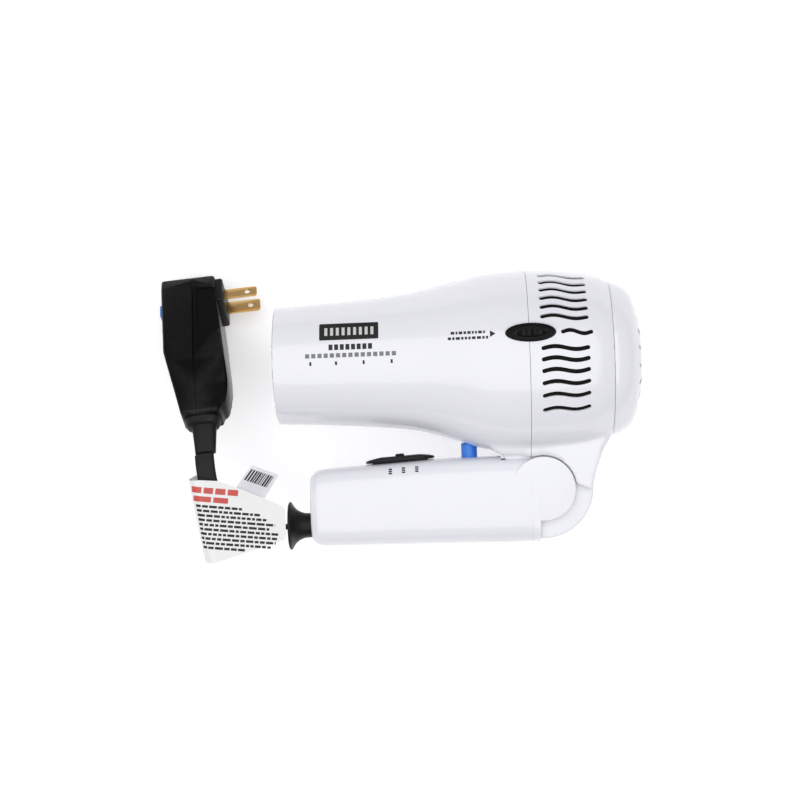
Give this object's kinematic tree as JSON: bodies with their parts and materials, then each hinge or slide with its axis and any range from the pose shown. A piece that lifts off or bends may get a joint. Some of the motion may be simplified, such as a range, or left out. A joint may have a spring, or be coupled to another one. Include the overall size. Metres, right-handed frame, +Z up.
{
  "type": "folding hair dryer",
  "caption": "Folding hair dryer with a cord reel in its barrel, lying folded on its side, with slide switch, cool button, trumpet cord guide, short flat cord and large safety plug.",
  "frame": {"origin": "ground under the middle of the dryer as it lies on its side, measured without the cord, the plug and the tags", "axes": "+X along the barrel from the nozzle to the rear cap, +Y across from the folded handle to the top of the barrel, +Z up, across the barrel"},
  "size_m": [0.267, 0.1596, 0.1001],
  "materials": {
    "white_shell": "glossy injection-moulded shell",
    "black_plastic": "satin black moulding",
    "cord_rubber": "soft black jacket",
    "blue_button": "blue button",
    "red_button": "red button",
    "blade_brass": "stamped brass",
    "steel": "plated steel",
    "winding": "copper winding and resistance wire",
    "mica": "mica sheet",
    "mesh": "fine dark mesh",
    "board": "circuit board",
    "label": "white plastic film",
    "foil": "silver-grey film"
  },
  "bodies": {
    "housing": {"front_housing": "white_shell", "rear_housing": "white_shell", "rear_cap": "white_shell", "rear_grille": "white_shell", "lint_screen": "mesh", "intake_screen": "mesh", "outlet_grille": "black_plastic", "mica_sleeve": "mica", "mica_cross": "mica", "heating_coil": "winding", "thermal_fuse": "steel", "motor_can": "steel", "air_guide": "black_plastic", "reel_bracket": "black_plastic", "reel_axle": "steel", "reel_spring_case": "black_plastic", "reel_spring": "steel", "cord_in_neck": "cord_rubber", "housing_screw_1": "steel", "housing_screw_2": "steel"},
    "handle": {"handle_shell_left": "white_shell", "handle_shell_right": "white_shell", "handle_screw_1": "steel", "handle_screw_2": "steel", "hinge_pin_left": "steel", "hinge_pin_right": "steel", "switch_bezel": "black_plastic", "switch_module": "black_plastic", "cool_shot_switch": "black_plastic", "ion_module": "black_plastic", "cord_trumpet": "black_plastic", "cord_in_handle": "cord_rubber", "cord": "cord_rubber", "plug_strain_relief": "cord_rubber", "plug_front_shell": "black_plastic", "plug_back_shell": "black_plastic", "prong_block": "black_plastic", "blade_narrow": "blade_brass", "blade_wide": "blade_brass", "plug_board": "board", "care_tag": "label", "stock_tag": "foil"},
    "switch": {"switch_slider": "black_plastic"},
    "cool_button": {"cool_shot_button": "blue_button"},
    "retract": {"retract_button": "black_plastic"},
    "brake": {"brake_lever": "black_plastic"},
    "reel": {"reel_drum": "black_plastic", "wound_cord": "cord_rubber"},
    "fan": {"motor_rotor": "winding", "fan_impeller": "black_plastic"},
    "test": {"test_button": "blue_button"},
    "reset": {"reset_button": "red_button"}
  },
  "joints": [
    {"name": "handle_fold", "type": "hinge", "parent": "housing", "child": "handle", "pos_m": [0.04405, -0.0447, 0.0497], "axis": [0, 0, 1], "range_deg": [0, 90]},
    {"name": "switch_slide", "type": "slide", "parent": "handle", "child": "switch", "axis": [0.9984, 0.0568, 0], "range_m": [-0.006, 0.006]},
    {"name": "cool_shot_press", "type": "slide", "parent": "handle", "child": "cool_button", "axis": [0, -1, 0], "range_m": [0, 0.003], "stiffness_N_per_m": 400},
    {"name": "retract_press", "type": "slide", "parent": "housing", "child": "retract", "axis": [0, -0.2874, -0.9578], "range_m": [0, 0.0015], "stiffness_N_per_m": 600},
    {"name": "brake_rock", "type": "hinge", "parent": "housing", "child": "brake", "pos_m": [0.04075, 0.03652, 0.08878], "axis": [0, -0.9578, 0.2874], "range_deg": [0, 10.5]},
    {"name": "reel_spin", "type": "hinge", "parent": "housing", "child": "reel", "pos_m": [0.05375, 0.0248, 0.0497], "axis": [1, 0, 0], "continuous": true},
    {"name": "fan_spin", "type": "hinge", "parent": "housing", "child": "fan", "pos_m": [0.00975, 0.0248, 0.0497], "axis": [1, 0, 0], "continuous": true},
    {"name": "test_press", "type": "slide", "parent": "handle", "child": "test", "axis": [0.9968, 0.0802, 0], "range_m": [0, 0.001], "stiffness_N_per_m": 600},
    {"name": "reset_press", "type": "slide", "parent": "handle", "child": "reset", "axis": [0.9968, 0.0802, 0], "range_m": [0, 0.001], "stiffness_N_per_m": 600}
  ],
  "couplings": [
    {"joint": "brake_rock", "follows": "retract_press", "rad_per_m": 111}
  ]
}
